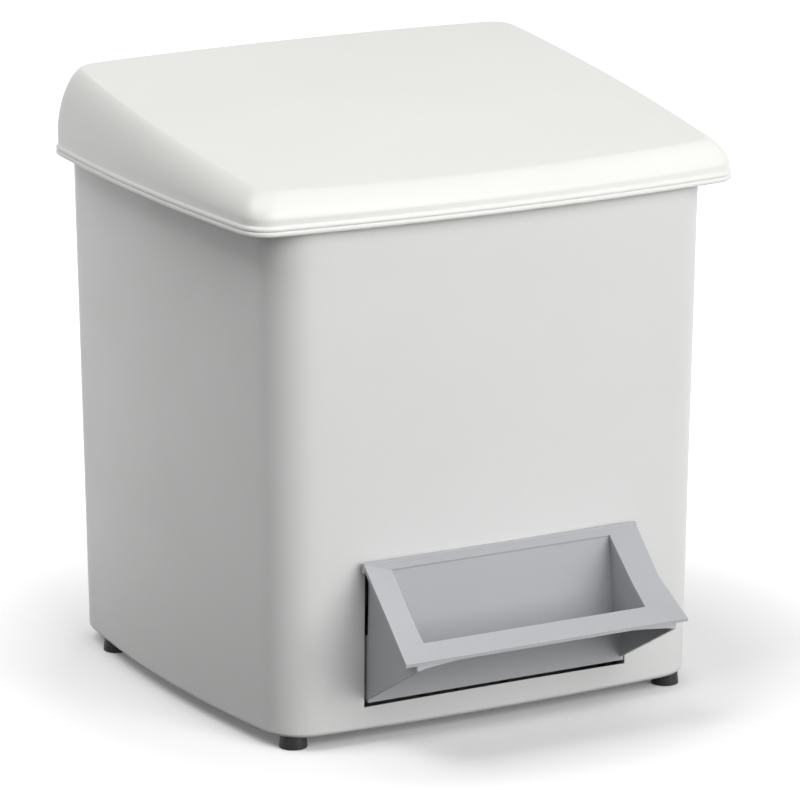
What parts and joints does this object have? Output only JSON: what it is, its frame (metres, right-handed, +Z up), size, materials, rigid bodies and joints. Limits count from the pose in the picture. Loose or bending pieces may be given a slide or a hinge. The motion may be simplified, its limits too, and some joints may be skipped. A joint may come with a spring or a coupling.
{
  "type": "pedal bin",
  "caption": "Square-bodied pedal bin with an overhanging sloped lid, a scoop-shaped foot pedal, a lift-out bucket with a bail, and a rod linkage that raises the lid.",
  "frame": {"origin": "on the floor, in the middle of the whole outline, pedal included", "axes": "+Z up, -Y towards the pedal at the front, +X to the right of someone who faces the pedal"},
  "size_m": [0.328, 0.342, 0.3579],
  "materials": {
    "white_plastic": "satin moulded",
    "grey_plastic": "fine moulded grain",
    "bucket_plastic": "satin moulded",
    "bearing_plastic": "natural acetal",
    "black_rubber": "matt",
    "bright_steel": "drawn wire and bar",
    "zinc_steel": "zinc plated"
  },
  "bodies": {
    "body": {"body_shell": "white_plastic", "foot_front_left": "black_rubber", "foot_front_right": "black_rubber", "foot_rear_left": "black_rubber", "foot_rear_right": "black_rubber", "foot_screws": "zinc_steel", "inner_bucket": "bucket_plastic", "pedal_bearing_left": "bearing_plastic", "pedal_bearing_right": "bearing_plastic", "rocker_bearing_left": "bearing_plastic", "rocker_bearing_right": "bearing_plastic", "bearing_screws": "zinc_steel", "rod_guide_lower": "bearing_plastic", "rod_guide_upper": "bearing_plastic", "guide_screws": "zinc_steel", "hinge_bracket_left": "zinc_steel", "hinge_bracket_right": "zinc_steel", "hinge_pins": "bright_steel", "hinge_screws": "zinc_steel"},
    "bail": {"bucket_bail": "bright_steel", "bail_grip": "bucket_plastic"},
    "pedal": {"pedal_scoop": "grey_plastic", "pedal_pivot_left": "bright_steel", "pedal_pivot_right": "bright_steel", "front_link_pins": "zinc_steel"},
    "pull_rod_left": {"pull_rod_left": "bright_steel"},
    "pull_rod_right": {"pull_rod_right": "bright_steel"},
    "rocker": {"rocker_shaft": "bright_steel", "rocker_crank_left": "bright_steel", "rocker_crank_right": "bright_steel", "lift_arm": "bright_steel", "rear_link_pins": "zinc_steel"},
    "push_rod": {"push_rod": "bright_steel", "rod_foot": "bearing_plastic", "rod_head": "bearing_plastic"},
    "lid": {"lid_shell": "white_plastic", "lid_buffers": "black_rubber", "lid_crank": "zinc_steel", "crank_pin": "bright_steel", "crank_screws": "zinc_steel"}
  },
  "joints": [
    {"name": "pedal_turn", "type": "hinge", "parent": "body", "child": "pedal", "pos_m": [0, -0.10345, 0.0305], "axis": [1, 0, 0], "range_deg": [0, 24]},
    {"name": "pull_rod_left_pivot", "type": "hinge", "parent": "pedal", "child": "pull_rod_left", "pos_m": [-0.092, -0.0903, 0.05746], "axis": [1, 0, 0], "range_deg": [-24, 0]},
    {"name": "pull_rod_right_pivot", "type": "hinge", "parent": "pedal", "child": "pull_rod_right", "pos_m": [0.092, -0.0903, 0.05746], "axis": [1, 0, 0], "range_deg": [-24, 0]},
    {"name": "rocker_turn", "type": "hinge", "parent": "body", "child": "rocker", "pos_m": [0, 0.05743, 0.034], "axis": [1, 0, 0], "range_deg": [0, 24]},
    {"name": "push_rod_slide", "type": "slide", "parent": "body", "child": "push_rod", "axis": [0, 0, 1], "range_m": [0, 0.033]},
    {"name": "lid_open", "type": "hinge", "parent": "body", "child": "lid", "pos_m": [0, 0.16105, 0.3085], "axis": [-1, 0, 0], "range_deg": [0, 72]},
    {"name": "bail_swing", "type": "hinge", "parent": "body", "child": "bail", "pos_m": [0, 0.00905, 0.307], "axis": [1, 0, 0], "range_deg": [0, 18]}
  ],
  "couplings": [
    {"joint": "pull_rod_left_pivot", "follows": "pedal_turn", "ratio": -1},
    {"joint": "pull_rod_right_pivot", "follows": "pedal_turn", "ratio": -1},
    {"joint": "rocker_turn", "follows": "pedal_turn", "ratio": 1},
    {"joint": "push_rod_slide", "follows": "pedal_turn", "m_per_rad": 0.078581},
    {"joint": "lid_open", "follows": "pedal_turn", "ratio": 3}
  ]
}
